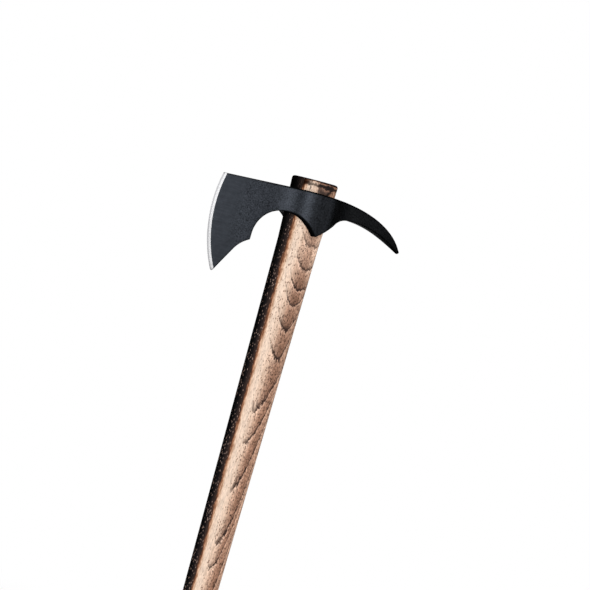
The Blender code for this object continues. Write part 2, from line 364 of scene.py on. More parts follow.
class Shader:
    """A material's node tree, built by calls that return sockets."""

    def __init__(self, name):
        self.material = bpy.data.materials.new(name)
        self.material.use_nodes = True
        self.tree = self.material.node_tree
        self.surface = self.tree.nodes["Principled BSDF"]
        self.place = self.tree.nodes.new("ShaderNodeTexCoord").outputs["Object"]

    def put(self, value, socket):
        """Links a socket to another one, or gives it a fixed value."""
        if isinstance(value, bpy.types.NodeSocket):
            self.tree.links.new(value, socket)
        elif socket.type == "RGBA":
            socket.default_value = (*value, 1.0)
        else:
            socket.default_value = value

    def set(self, **values):
        """Puts values on the surface's own sockets, named with underscores for spaces."""
        for name, value in values.items():
            self.put(value, self.surface.inputs[name.replace("_", " ")])

    def node(self, kind, inputs, **settings):
        node = self.tree.nodes.new("ShaderNode" + kind)
        for name, value in settings.items():
            setattr(node, name, value)
        for key, value in inputs.items():
            self.put(value, node.inputs[key])
        return node

    def attribute(self, name):
        return self.node("Attribute", {}, attribute_name=name).outputs["Fac"]

    def axis(self, letter):
        return self.node("SeparateXYZ", {"Vector": self.place}).outputs[letter]

    def facing_up(self):
        """How far the surface faces up: 1 straight up, 0 level and -1 straight down."""
        normal = self.node("NewGeometry", {}).outputs["Normal"]
        return self.node("SeparateXYZ", {"Vector": normal}).outputs["Z"]

    def math(self, operation, first, second=0.0):
        return self.node("Math", {0: first, 1: second}, operation=operation).outputs[0]

    def times(self, first, *others):
        """The product of all values."""
        for other in others:
            first = self.math("MULTIPLY", first, other)
        return first

    def away(self, value, centre):
        """How far a value lies from a centre, either way."""
        return self.math("ABSOLUTE", self.math("SUBTRACT", value, centre))

    def slanted(self, angle, depth, slant):
        """An angle that grows with the depth."""
        return self.math("ADD", angle, self.times(depth, slant))

    def cells(self, cell):
        """The place counted in cells of this size along X, Y and Z."""
        scale = [1 / size for size in cell]
        return self.node("Mapping", {"Vector": self.place, "Scale": scale}).outputs["Vector"]

    def noise(self, cell, detail=2.0):
        """Noise about 0.5 whose cells have this size along X, Y and Z."""
        inputs = {"Vector": self.cells(cell), "Scale": 1.0, "Detail": detail}
        return self.node("TexNoise", inputs).outputs["Fac"]

    def dashes(self, cell, share):
        """Short dashes, one in each of this share of the cells: 1 in a dash and 0 between them."""
        spots = self.node("TexVoronoi", {"Vector": self.cells(cell), "Scale": 1.0})
        chance = self.node("SeparateColor", {"Color": spots.outputs["Color"]}).outputs["Red"]
        dash = self.rise(spots.outputs["Distance"], *DASH_LIMITS, 1.0, 0.0)
        return self.times(dash, self.math("LESS_THAN", chance, share))

    def shake(self, value, noise, reach):
        """A value moved by noise, up to about half its reach either way."""
        return self.math("ADD", value, self.times(self.math("SUBTRACT", noise, 0.5), reach))

    def rise(self, value, low, high, to_low=0.0, to_high=1.0):
        """A smooth rise from to_low where the value is low to to_high where it is high."""
        inputs = {"Value": value, "From Min": low, "From Max": high, "To Min": to_low, "To Max": to_high}
        return self.node("MapRange", inputs, interpolation_type="SMOOTHSTEP").outputs["Result"]

    def spread(self, noise, low, high):
        """Noise spread smoothly from low to high."""
        return self.rise(noise, *NOISE_SPREAD, low, high)

    def mix(self, share, first, second, blend="MIX"):
        node = self.node("Mix", {}, data_type="RGBA", blend_type=blend)
        self.put(share, node.inputs[0])
        self.put(first, node.inputs[6])
        self.put(second, node.inputs[7])
        return node.outputs[2]

    def tint(self, colour, factor, share=1.0):
        """A colour times a factor, for a share of it."""
        return self.mix(share, colour, factor, "MULTIPLY")

    def ramp(self, value, stops):
        """A colour that follows stops, each a value and its colour, from the lowest value to the highest."""
        low = stops[0][0]
        high = stops[-1][0]
        share = self.node("MapRange", {"Value": value, "From Min": low, "From Max": high}).outputs["Result"]
        node = self.node("ValToRGB", {"Fac": share})
        elements = node.color_ramp.elements
        while len(elements) < len(stops):
            elements.new(1.0)
        for element, (place, colour) in zip(elements, stops):
            element.position = (place - low) / (high - low)
            element.color = (*colour, 1.0)
        return node.outputs["Color"]

    def levels(self, value, stops):
        """A number that follows stops, each a value and its number."""
        return self.ramp(value, [(place, (level, level, level)) for place, level in stops])

    def bump(self, height, distance):
        self.set(Normal=self.node("Bump", {"Height": height, "Distance": distance}).outputs["Normal"])


# Handle

def handle_half(height):
    """Half depth and half width of the handle's plain taper at a height above its butt."""
    depth = np.interp(height, SECTION_HEIGHTS, SECTION_DEPTHS)
    width = np.interp(height, SECTION_HEIGHTS, SECTION_WIDTHS)
    return depth / 2, width / 2


def handle_rows():
    """Height, half depth and half width of each row of the handle, from butt to top, ends included."""
    quarter = np.linspace(0, math.pi / 2, END_STEPS + 1)
    rise = END_ROUND * (1 - np.cos(quarter))
    inset = END_ROUND * (1 - np.sin(quarter))
    plain = np.linspace(END_ROUND, HANDLE_LENGTH - END_ROUND, HANDLE_ROWS)[1:-1]
    heights = np.concatenate((rise, plain, HANDLE_LENGTH - rise[::-1]))
    insets = np.concatenate((inset, np.zeros(len(plain)), inset[::-1]))
    half_depth, half_width = handle_half(heights)
    rows = np.stack((heights, half_depth - insets, half_width - insets), axis=1)
    shares = np.array(CAP_SHARES)[:, None]
    butt = np.hstack((np.zeros((len(shares), 1)), shares * rows[0, 1:]))
    top = np.hstack((np.full((len(shares), 1), HANDLE_LENGTH), shares[::-1] * rows[-1, 1:]))
    return np.vstack((butt, rows, top))


def ring_level(points):
    """The level of points of the handle among its growth rings, the same all along one ring."""
    x, y, z = points.T
    level = z + np.interp(z, RING_HEIGHTS, RING_TURNS) * x
    level -= np.interp(z, RING_HEIGHTS, RING_LEANS) * y
    level += np.interp(z, RING_HEIGHTS, RING_CURLS) * np.maximum(x - RING_CURL_REACH, 0) ** 2
    level -= np.interp(z, RING_HEIGHTS, RING_FOLDS) * np.abs(x - RING_FOLD_REACH)
    return level


def ring_starts():
    """The levels at which rings start, from the lowest to the highest: at the marks and beyond them."""
    heights = np.array(RING_MARKS) - RING_MARK_RISE
    half_depth, half_width = handle_half(heights)
    x = -math.cos(RING_MARK_ANGLE) * half_depth
    y = -math.sin(RING_MARK_ANGLE) * half_width
    marked = ring_level(np.stack((x, y, heights), axis=1))
    starts = [LOWER_RING, *marked, *UPPER_RINGS]
    while starts[0] > RING_LOWEST:
        spacing = RING_SPACING * (1 + RING_UNEVENNESS * math.sin(RING_BEAT * len(starts)))
        starts.insert(0, starts[0] - spacing)
    return starts


def growth(points):
    """The count of growth rings at points of the handle, whole where a new ring starts."""
    starts = ring_starts()
    return np.interp(ring_level(points), starts, np.arange(len(starts)))


def ringed_wood(shader, angle, height):
    """Light wood on the near side, tanner towards the back, with growth rings and open pores."""
    fibre = shader.noise(FIBRE_CELL)
    turned = shader.shake(angle, shader.noise(STREAK_CELL), STREAK_SHAKE)
    towards_back = shader.rise(turned, 80.0, 100.0)
    plain = shader.tint(shader.ramp(turned, WOOD_COLOURS), shader.ramp(height, WOOD_LIGHT), towards_back)

    # Each ring starts dark along a jagged line and fades upwards, and all are fainter near the head
    ring = shader.shake(shader.attribute("growth"), fibre, RING_JAG)
    ring = shader.shake(ring, shader.noise(PATCH_CELL), RING_SWAY)
    ring = shader.math("FRACT", ring)
    strength = shader.rise(height, *HEAD_FADE, 1.0, 0.65)
    shaded = shader.times(shader.rise(turned, 62.0, 96.0, 0.08, 1.0), strength)
    colour = shader.tint(plain, shader.ramp(ring, RING_SHADES), shaded)
    line = shader.times(shader.rise(ring, 0.05, 0.19, 0.92, 0.0), shader.rise(turned, 58.0, 86.0), strength)
    colour = shader.mix(line, colour, RING_LINE_COLOUR)
    colour = shader.tint(colour, shader.spread(fibre, 0.88, 1.10))
    colour = shader.tint(colour, shader.spread(shader.noise(HAIR_CELL), 0.88, 1.09))
    figured = shader.times(shader.rise(turned, 60.0, 95.0), strength)
    colour = shader.tint(colour, shader.spread(shader.noise(FIGURE_CELL), 0.72, 1.20), figured)

    # Pores crowd where a ring starts and towards the back, and are faint on the end above the head
    crowd = shader.rise(ring, 0.05, 0.40, 0.95, 0.55)
    crowd = shader.math("ADD", crowd, shader.rise(turned, 75.0, 95.0, 0.0, 0.30))
    in_front = shader.rise(height, 0.345, 0.385, 0.10, 0.60)
    pores = shader.times(
        shader.dashes(PORE_CELL, crowd),
        shader.rise(turned, 45.0, 78.0, in_front, 0.95),
        shader.rise(height, *END_PORE_FADE, 1.0, 0.3),
    )
    pore = shader.mix(shader.rise(turned, 62.0, 92.0), FRONT_PORE_COLOUR, BACK_PORE_COLOUR)
    return shader.mix(pores, colour, pore), pores


def singed_end(shader, angle, below_top, colour):
    """The end above the head: singed under its rim, with a dark band, an arch of soot and a thin check."""
    blotch = shader.noise(BLOTCH_CELL)
    depth = shader.shake(below_top, blotch, END_DEPTH_SHAKE)
    turned = shader.shake(angle, blotch, END_ANGLE_SHAKE)
    on_end = shader.rise(below_top, *END_LIMIT, 1.0, 0.0)
    before_arch = shader.rise(turned, 78.0, 84.0, 1.0, 0.0)
    colour = shader.tint(colour, PALER_FACTOR, shader.times(on_end, before_arch))
    colour = shader.tint(colour, SINGE_FACTOR, shader.rise(depth, *SINGE_DEPTHS, 0.75, 0.0))
    smoke = shader.rise(shader.slanted(turned, depth, SMOKE_SLANT), 59.0, 74.0, 0.92, 0.0)
    colour = shader.tint(colour, SMOKE_FACTOR, shader.times(smoke, on_end))

    # Tan wood behind the arch's foot, which slants forward as it runs down, and brown wood inside the arch
    foot = shader.slanted(turned, shader.math("SUBTRACT", below_top, FOOT_DEPTH), FOOT_SLANT)
    behind = shader.times(shader.rise(foot, *FOOT_SIDES), on_end)
    colour = shader.tint(colour, BEHIND_FOOT_FACTOR, behind)
    past_start = shader.rise(turned, 78.0, 83.0)
    before_foot = shader.rise(foot, *FOOT_SIDES, 1.0, 0.0)
    within = shader.times(past_start, before_foot, on_end, ARCH_STRENGTH)
    brown = shader.mix(shader.rise(depth, 0.0060, 0.0086), ARCH_COLOUR, LOW_ARCH_COLOUR)
    patches = shader.rise(shader.noise(ARCH_CELL), 0.48, 0.62, 0.0, 0.7)
    brown = shader.mix(patches, brown, ARCH_PATCH_COLOUR)
    colour = shader.mix(within, colour, brown)

    # The band under the rim swells into the arch's crown, whose foot runs down, with spots behind it
    speckle = shader.noise(SOOT_CELL)
    offset = shader.times(shader.away(depth, SOOT_DEPTH), 1 / SOOT_UNIT)
    offset = shader.math("SUBTRACT", offset, shader.levels(angle, SOOT_REACHES))
    offset = shader.shake(offset, speckle, SOOT_SHAKE)
    in_front = shader.rise(turned, 52.0, 62.0, 0.95, 0.82)
    band = shader.times(
        shader.rise(offset, -0.22, 0.12, 1.0, 0.0),
        shader.rise(turned, 76.0, 82.0, in_front, 0.96),
    )
    spots = shader.times(
        shader.rise(speckle, 0.48, 0.58, 0.0, 0.75),
        shader.rise(below_top, 0.0075, 0.0095, 1.0, 0.0),
        behind,
    )
    strip = shader.times(
        shader.rise(shader.away(foot, FOOT_ANGLE), 2.0, 6.0, 0.85, 0.0),
        shader.rise(below_top, 0.004, 0.005),
        on_end,
    )
    check = shader.times(
        shader.rise(shader.away(angle, CHECK_ANGLE), 0.6, 2.4, 0.75, 0.0),
        shader.rise(below_top, 0.008, 0.012, 1.0, 0.0),
    )
    soot = band
    for mark in (spots, strip, check):
        soot = shader.math("MAXIMUM", soot, mark)
    sooty = shader.mix(shader.rise(turned, 72.0, 82.0), FRONT_SOOT_COLOUR, SOOT_COLOUR)
    return shader.mix(soot, colour, sooty)


def charred_edge(shader, angle, height, below_top, colour):
    """The charred front edge with its scorched border, pale fibres that show through, and black rims."""
    burn = shader.math("MINIMUM", angle, shader.math("SUBTRACT", BACK_CHAR_ANGLE, angle))
    for cell, reach in BURN_SHAKES:
        burn = shader.shake(burn, shader.noise(cell), reach)
    burn = shader.math("SUBTRACT", burn, shader.rise(below_top, 0.008, 0.013, 3.5, 0.0))
    burn = shader.math("ADD", burn, shader.rise(below_top, 0.055, 0.145, -1.2, 1.2))
    rim = shader.math("MINIMUM", shader.shake(below_top, shader.noise(BLOTCH_CELL), RIM_SHAKE), height)
    burn = shader.math("MINIMUM", burn, shader.rise(rim, *RIM_DEPTHS, *RIM_BURNS))

    # The end faces are charred alike all over
    end_face = shader.rise(shader.math("ABSOLUTE", shader.facing_up()), 0.75, 0.95)
    to_end_burn = shader.math("SUBTRACT", END_FACE_BURN, burn)
    burn = shader.math("ADD", burn, shader.times(end_face, to_end_burn))

    # Pale fibres show through the black, few of them on the end above the head, and few near the head as
    # painted shadow of the blade
    below_end = shader.rise(below_top, *CHAR_END_LIMIT, 0.1, 1.0)
    # Painted shadow: almost no pale flecks within 60 mm of the top, fading in by 90 mm, darken the char where
    # the blade's shadow falls
    out_of_blade_shadow = shader.rise(below_top, 0.060, 0.090, 0.05, 1.0)
    crowd = shader.times(shader.rise(burn, 0.0, 8.0, 0.28, 0.55), shader.rise(burn, 18.0, 28.0, 1.0, 0.80))
    flecks = shader.times(
        shader.dashes(FLECK_CELL, crowd),
        shader.rise(burn, 0.0, 34.0, 0.60, 0.90),
        shader.rise(burn, 12.0, 22.0, out_of_blade_shadow, 1.0),
        below_end,
    )
    black = shader.ramp(burn, CHAR_COLOURS)
    black = shader.tint(black, shader.rise(below_top, *CHAR_END_LIMIT, 0.55, 1.0))
    black = shader.mix(flecks, black, FLECK_COLOUR)
    ring = shader.shake(shader.attribute("growth"), shader.noise(BLOTCH_CELL), END_RING_SHAKE)
    ring = shader.rise(shader.math("FRACT", ring), 0.1, 0.7, 0.0, 0.7)
    black = shader.mix(shader.times(end_face, ring), black, END_RING_COLOUR)
    char = shader.rise(burn, *CHAR_LIMIT, 1.0, 0.0)
    scorched = shader.tint(colour, shader.ramp(burn, CHAR_BORDER))
    return shader.mix(char, scorched, black), char


def wood_material():
    shader = Shader("charred_wood")
    angle = shader.attribute("angle")
    height = shader.axis("Z")
    below_top = shader.math("SUBTRACT", HANDLE_LENGTH, height)
    colour, pores = ringed_wood(shader, angle, height)
    colour = singed_end(shader, angle, below_top, colour)
    colour, char = charred_edge(shader, angle, height, below_top, colour)

    # Fibres stand up, pores lie deep, and the char is rough
    relief = shader.times(shader.noise(FIBRE_CELL), FIBRE_RELIEF)
    relief = shader.math("SUBTRACT", relief, shader.times(pores, PORE_RELIEF))
    relief = shader.shake(relief, shader.noise(CHAR_CELL, detail=0.0), shader.times(char, CHAR_RELIEF))
    rough = shader.rise(char, 0.0, 1.0, *WOOD_ROUGHNESS)
    shader.set(Base_Color=colour, Roughness=rough, Specular_IOR_Level=0.0)
    shader.bump(relief, WOOD_RELIEF)
    return shader.material


def handle_mesh():
    """The handle as a mesh: rows of points from butt to top, with both ends closed."""
    rows = handle_rows()
    top_half = SECTION_DEPTHS[-1] / 2
    slant_start = HANDLE_LENGTH - TOP_SLANT_DEPTH
    slant_end = HANDLE_LENGTH - END_ROUND
    points = []
    for height, half_depth, half_width in rows:
        slant = TOP_SLANT / 2 * smooth_step(height, slant_start, slant_end)
        for angle in SIDE_ANGLES:
            x = -np.cos(angle) * half_depth
            y = -np.sin(angle) * half_width
            points.append((x, y, height - slant * (1 - x / top_half)))
    faces = ring_faces(len(rows))
    last = (len(rows) - 1) * HANDLE_SIDES
    butt_centre = len(points)
    top_centre = butt_centre + 1
    points += [(0, 0, 0), (0, 0, HANDLE_LENGTH - TOP_SLANT / 2)]
    for side in range(HANDLE_SIDES):
        after = (side + 1) % HANDLE_SIDES
        faces.append((butt_centre, after, side))
        faces.append((top_centre, last + side, last + after))
    mesh = new_mesh("handle_wood", points, faces)
    mesh.shade_smooth()
    turned = np.degrees(np.minimum(SIDE_ANGLES, 2 * math.pi - SIDE_ANGLES))
    cap_centres = (CAP_CENTRE_ANGLE, CAP_CENTRE_ANGLE)
    set_attribute(mesh, "angle", np.concatenate((np.tile(turned, len(rows)), cap_centres)))
    set_attribute(mesh, "growth", growth(points_of(mesh)))
    return mesh


def make_handle():
    mesh = handle_mesh()
    mesh.materials.append(wood_material())
    item = new_object("handle_wood", mesh)
    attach(item, "handle")
    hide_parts("handle")


# Head

class Path:
    """Points along straight and cubic stretches, drawn from point to point."""

    def __init__(self, start):
        self.points = [Vector(start)]

    def curve(self, handle_out, handle_in, end):
        start = self.points[-1]
        steps = max(2, math.ceil((Vector(end) - start).length / CURVE_STEP))
        knots = [Vector(point).to_3d() for point in (start, handle_out, handle_in, end)]
        self.points += [point.to_2d() for point in interpolate_bezier(*knots, steps + 1)[1:]]

    def line(self, end):
        start = self.points[-1]
        steps = max(1, math.ceil((Vector(end) - start).length / CURVE_STEP))
        self.points += [start.lerp(Vector(end), step / steps) for step in range(1, steps + 1)]

    def array(self):
        return np.array([tuple(point) for point in self.points])


def along(start, angle, length):
    return Vector(start) + Vector((math.cos(angle), math.sin(angle))) * length


def edge_point(drop, inset=0.0):
    """The point of the cutting edge's arc, or of one inside it, at a drop below the top of the head."""
    radius = EDGE_RADIUS - inset
    reach = math.sqrt(radius ** 2 - (drop + EDGE_CENTRE.y) ** 2)
    return Vector((EDGE_CENTRE.x - reach, -drop))


def edge_arc(inset, low_drop, high_drop):
    """Points up an arc inside the cutting edge."""
    steps = math.ceil((low_drop - high_drop) / CURVE_STEP)
    drops = np.linspace(low_drop, high_drop, steps + 1)
    return np.array([tuple(edge_point(drop, inset)) for drop in drops])


def head_rim():
    """The head's outline seen from the side, from toe over the spike to heel, top of the eye at zero."""
    toe = edge_point(TOE_DROP)
    heel = edge_point(HEEL_DROP)
    brow = Vector((-EYE_X, -BROW_DROP))
    crown = Vector((0, 0))
    spike_start = Vector((EYE_X, 0))
    spike_top = Vector((SPIKE_REACH, -SPIKE_DROP))
    spike_low = along(spike_top, math.pi + SPIKE_END_SLOPE, SPIKE_TIP)
    root = Vector((EYE_X + REAR_FLARE, -SPIKE_ROOT_HEIGHT))
    langet = Vector((LANGET_LEAD, -LANGET_DROP))
    langet_rear = along(langet, LANGET_REAR_SLOPE, LANGET_REAR_RUN / math.cos(LANGET_REAR_SLOPE))
    notch_top = Vector((NOTCH_RADIUS - BEARD_INSET, -NECK_HEIGHT))
    notch_side = Vector((-BEARD_INSET, -NECK_HEIGHT - NOTCH_RADIUS))
    beard = Vector((-BEARD_INSET, -BEARD_DROP))
    bend = beard - Vector((BEARD_BEND_RUN, BEARD_BEND_DROP))
    blade_way = (brow - toe).normalized()
    heel_way = (heel - bend).normalized()
    right = Vector((1, 0))
    up = Vector((0, 1))

    rim = Path(edge_point(TOE_DROP + TOE_ROUND))
    rim.curve(toe, toe, toe + blade_way * TOE_ROUND)
    rim.line(brow)
    pull = PULL * EYE_X
    rim.curve(brow + blade_way * pull, crown - right * pull, crown)
    rim.line(spike_start)
    pull = PULL * (SPIKE_REACH - EYE_X)
    rim.curve(spike_start + right * pull, along(spike_top, math.pi - SPIKE_TOP_SLOPE, pull), spike_top)
    rim.line(spike_low)
    pull = PULL * (SPIKE_REACH - root.x)
    rim.curve(along(spike_low, math.pi - SPIKE_UNDER_SLOPE, pull), root + right * pull, root)
    pull = PULL * (root - langet_rear).length
    rim.curve(root - right * pull, along(langet_rear, LANGET_END_SLOPE, pull), langet_rear)
    rim.line(langet)
    pull = PULL * (langet - notch_top).length
    rim.curve(along(langet, math.pi - LANGET_FRONT_SLOPE, pull), notch_top + right * pull, notch_top)
    pull = QUARTER_ARC_PULL * NOTCH_RADIUS
    rim.curve(notch_top - right * pull, notch_side + up * pull, notch_side)
    rim.line(beard)
    pull = PULL * (beard - bend).length
    rim.curve(along(beard, math.pi + BEARD_SLOPE, pull), bend - heel_way * pull, bend)
    heel_end = heel - heel_way * HEEL_ROUND
    edge_end = edge_point(HEEL_DROP - HEEL_ROUND)
    rim.line(heel_end)
    rim.curve(heel_end.lerp(heel, QUARTER_ARC_PULL), edge_end.lerp(heel, QUARTER_ARC_PULL), edge_end)
    return rim.array()


def eye_point(angle):
    """A point of the eye's outer oval, seen from above, and the way the oval runs there."""
    point = Vector((-EYE_X * math.cos(angle), EYE_Y * math.sin(angle)))
    run = Vector((EYE_X * math.sin(angle), EYE_Y * math.cos(angle)))
    return point, run


def head_plan():
    """Half the head's outline seen from above, from the blade to the tip of the spike."""
    front, front_run = eye_point(FRONT_FLARE_ANGLE)
    crown, crown_run = eye_point(math.pi / 2)
    rear, rear_run = eye_point(REAR_FLARE_ANGLE)
    bevel = Vector((EDGE_BEVEL - BLADE_REACH, EDGE_THICKNESS / 2))
    blade_root = Vector((-EYE_X - FRONT_FLARE, BLADE_THICKNESS / 2))
    cheek_way = (blade_root - bevel).normalized()
    spike_root = Vector((EYE_X + REAR_FLARE, SPIKE_ROOT_THICKNESS / 2))
    tip = Vector((SPIKE_REACH, SPIKE_TIP / 2))
    right = Vector((1, 0))
    half = Path((-BLADE_REACH, EDGE_LINE / 2))
    half.line((HONED_BEVEL - BLADE_REACH, HONED_THICKNESS / 2))
    half.line(bevel)
    half.line(blade_root)
    pull = PULL * (front - blade_root).length
    half.curve(blade_root + cheek_way * pull, front - front_run.normalized() * pull, front)
    share = QUARTER_ARC_PULL * (1 - FRONT_FLARE_ANGLE / (math.pi / 2))
    half.curve(front + front_run * share, crown - crown_run * share, crown)
    share = QUARTER_ARC_PULL * (REAR_FLARE_ANGLE / (math.pi / 2) - 1)
    half.curve(crown + crown_run * share, rear - rear_run * share, rear)
    pull = PULL * (spike_root - rear).length
    half.curve(rear + rear_run.normalized() * pull, spike_root - right * pull, spike_root)
    pull = PULL * (tip - spike_root).length
    half.curve(spike_root + right * pull, along(tip, math.pi - SPIKE_SIDE_SLOPE, pull), tip)
    return half.array()


RIM = head_rim()
PLAN = head_plan()


def edge_distance(points):
    """How far points of the side view lie inside the cutting edge."""
    return EDGE_RADIUS - np.hypot(points[:, 0] - EDGE_CENTRE.x, points[:, 1] - EDGE_CENTRE.y)


def face_half(points):
    """Half the head's thickness at points of the side view, before its rim is rounded.

    The blade thickens with the distance from its curved edge, and everything behind it along X.
    """
    reach = points[:, 0]
    share = smooth_step(reach, *NECK_BLEND)
    place = share * reach + (1 - share) * (edge_distance(points) - BLADE_REACH)
    return np.interp(place, PLAN[:, 0], PLAN[:, 1])


def line_distance(points, line):
    """Distance of each point to a line through many points."""
    nearest = np.full(len(points), np.inf)
    for start, end in zip(line, line[1:]):
        run = end - start
        share = np.clip((points - start) @ run / (run @ run), 0, 1)
        gap = points - start - share[:, None] * run
        nearest = np.minimum(nearest, np.hypot(gap[:, 0], gap[:, 1]))
    return nearest


def inside(points, loop):
    """Which points lie inside a closed loop."""
    hits = np.zeros(len(points), int)
    for start, end in zip(loop, np.roll(loop, -1, axis=0)):
        crosses = (start[1] > points[:, 1]) != (end[1] > points[:, 1])
        if crosses.any():
            share = (points[crosses, 1] - start[1]) / (end[1] - start[1])
            hits[crosses] += points[crosses, 0] < start[0] + share * (end[0] - start[0])
    return hits % 2 == 1


def round_radius(half):
    """Radius of the rim's rounding where the head has this half thickness."""
    return np.minimum(EDGE_ROUND, ROUND_SHARE * half)


def round_runs():
    """Runs of points just inside the rim, in rows where its edge is rounded."""
    way = np.gradient(RIM, axis=0)
    inward = np.stack((way[:, 1], -way[:, 0]), axis=1) / np.hypot(way[:, 0], way[:, 1])[:, None]
    radius = round_radius(face_half(RIM))
    runs = []
    for step in range(1, ROUND_STEPS + 1):
        reach = radius * (1 - math.cos(math.pi / 2 * step / ROUND_STEPS))
        row = RIM + inward * reach[:, None]
        clear = line_distance(row, RIM) > ROUND_CLEAR_SHARE * reach
        clear &= edge_distance(row) > HONED_BEVEL / 2
        run = []
        for point, kept in zip(row, clear):
            if kept:
                run.append(point)
            elif run:
                runs.append(run)
                run = []
        runs.append(run)
    return runs


def head_sheet():
    """The side view as a net of triangles: its points and faces."""
    arc = edge_arc(0, HEEL_DROP - HEEL_ROUND, TOE_DROP + TOE_ROUND)
    loop = np.vstack((RIM, arc[1:-1]))
    points = [tuple(point) for point in loop]
    edges = [(index, (index + 1) % len(loop)) for index in range(len(loop))]
    crease_arcs = [edge_arc(inset, HEEL_DROP, TOE_DROP) for inset in CREASES]
    for run in round_runs() + crease_arcs:
        first = len(points)
        points += [tuple(point) for point in run]
        edges += [(index, index + 1) for index in range(first, len(points) - 1)]
    low = loop.min(axis=0)
    high = loop.max(axis=0)
    axes = [np.arange(low[axis], high[axis], GRID_STEP) for axis in (0, 1)]
    grid = np.stack(np.meshgrid(*axes), axis=-1).reshape(-1, 2)
    grid = grid[inside(grid, loop)]
    grid = grid[line_distance(grid, RIM) > EDGE_ROUND + GRID_STEP / 2]
    depth = edge_distance(grid)
    clearance = GRID_STEP / 3
    clear = depth > clearance
    for crease in CREASES:
        clear &= np.abs(depth - crease) > clearance
    points += [tuple(point) for point in grid[clear]]
    vectors = [Vector(point) for point in points]
    net = delaunay_2d_cdt(vectors, edges, [], NET_INSIDE_ONLY, NET_TOLERANCE)
    return np.array([tuple(point) for point in net[0]]), [tuple(face) for face in net[2]]


def head_solid():
    """The head without its eye, as a mesh: the side view's net lifted to both faces, joined by a wall."""
    net, faces = head_sheet()
    half = face_half(net)
    radius = round_radius(half)
    gap = np.minimum(line_distance(net, RIM), radius)
    half = half - radius + np.sqrt(radius ** 2 - (radius - gap) ** 2)
    count = len(net)
    lifted = np.stack((net[:, 0], half, net[:, 1] + HEAD_TOP), axis=1)
    points = np.vstack((lifted, lifted * (1, -1, 1)))
    sides = {}
    for face in faces:
        for start, end in zip(face, face[1:] + face[:1]):
            sides.setdefault(frozenset((start, end)), []).append((start, end))
    wall = [side[0] for side in sides.values() if len(side) == 1]
    far_faces = [tuple(corner + count for corner in face[::-1]) for face in faces]
    wall_faces = [(end, start, start + count, end + count) for start, end in wall]
    return new_mesh("head_blank", points, faces + far_faces + wall_faces)


def eye_cutter():
    """The handle's taper grown by the clearance, opening to a small chamfer at the head's top."""
    sections = []
    for height in SECTION_HEIGHTS[:2] + (HEAD_TOP - EYE_CHAMFER,):
        half_depth, half_width = handle_half(height)
        sections.append((height, half_depth + SEAT_CLEARANCE, half_width + SEAT_CLEARANCE))
    grown = EYE_CHAMFER + CUT_MARGIN
    sections.append((HEAD_TOP + CUT_MARGIN, sections[-1][1] + grown, sections[-1][2] + grown))
    points = [
        (half_depth * math.cos(angle), half_width * math.sin(angle), height)
        for height, half_depth, half_width in sections for angle in SIDE_ANGLES
    ]
    ends = [tuple(range(HANDLE_SIDES)), tuple(range(len(points) - HANDLE_SIDES, len(points)))]
    return new_object("eye_cutter", new_mesh("eye_cutter", points, ends + ring_faces(len(sections))))


def finish_with_painted_shade(shader, along_head, texture):
    """The dark finish, paler on the cheeks and darkest on the spike, with painted light and shade along the
    head, painted shade along the rim and a painted line of shade on the top edge.
    """
    tones = []
    for place, level, blue in STEEL_TONES_AND_PAINTED_LIGHT:
        tones.append((place, ((1 - RED_LOSS * blue) * level, level, (1 + blue) * level)))
    dark = shader.tint(shader.ramp(along_head, tones), texture)
    # Painted shade: darker along the rim, where the rounded edges turn from the light
    dark = shader.tint(dark, shader.rise(shader.attribute("rim"), 0.0003, 0.0013, 0.40, 1.0))
    dark = shader.tint(dark, shader.spread(shader.noise(MOTTLE_CELL), 0.92, 1.08))
    # Painted shade: a black line on the up-facing rounding of the top edge, strongest over the eye and fading
    # towards the blade and the spike
    painted_top_shade = shader.times(
        shader.rise(along_head, -0.060, -0.015),
        shader.rise(along_head, 0.030, 0.070, 1.0, 0.4),
        shader.rise(shader.attribute("below_edge"), 0.0006, 0.0016, 0.92, 0.0),
        shader.rise(shader.facing_up(), 0.85, 0.98, 1.0, 0.0),
    )
    return shader.mix(painted_top_shade, dark, TOP_SHADE_COLOUR)


def ground_edge(shader, edge, grind):
    """The bright ground edge: a honed strip at the very edge and a wider bevel, with painted shade towards
    the toe and painted light towards the heel.
    """
    honed = shader.rise(edge, HONED_BEVEL - BEVEL_BLUR, HONED_BEVEL + BEVEL_BLUR, 1.0, 0.0)
    bright = shader.tint(shader.mix(honed, BEVEL_COLOUR, HONED_COLOUR), shader.spread(grind, 0.80, 1.1))
    drop = shader.math("SUBTRACT", HEAD_TOP, shader.axis("Z"))
    # Painted shade towards the toe and painted light towards the heel, evening out the light along the curved
    # bevel
    return shader.tint(bright, shader.rise(drop, BEVEL_PAINTED_LIGHT_DROP, HEEL_DROP, 0.77, 1.16))


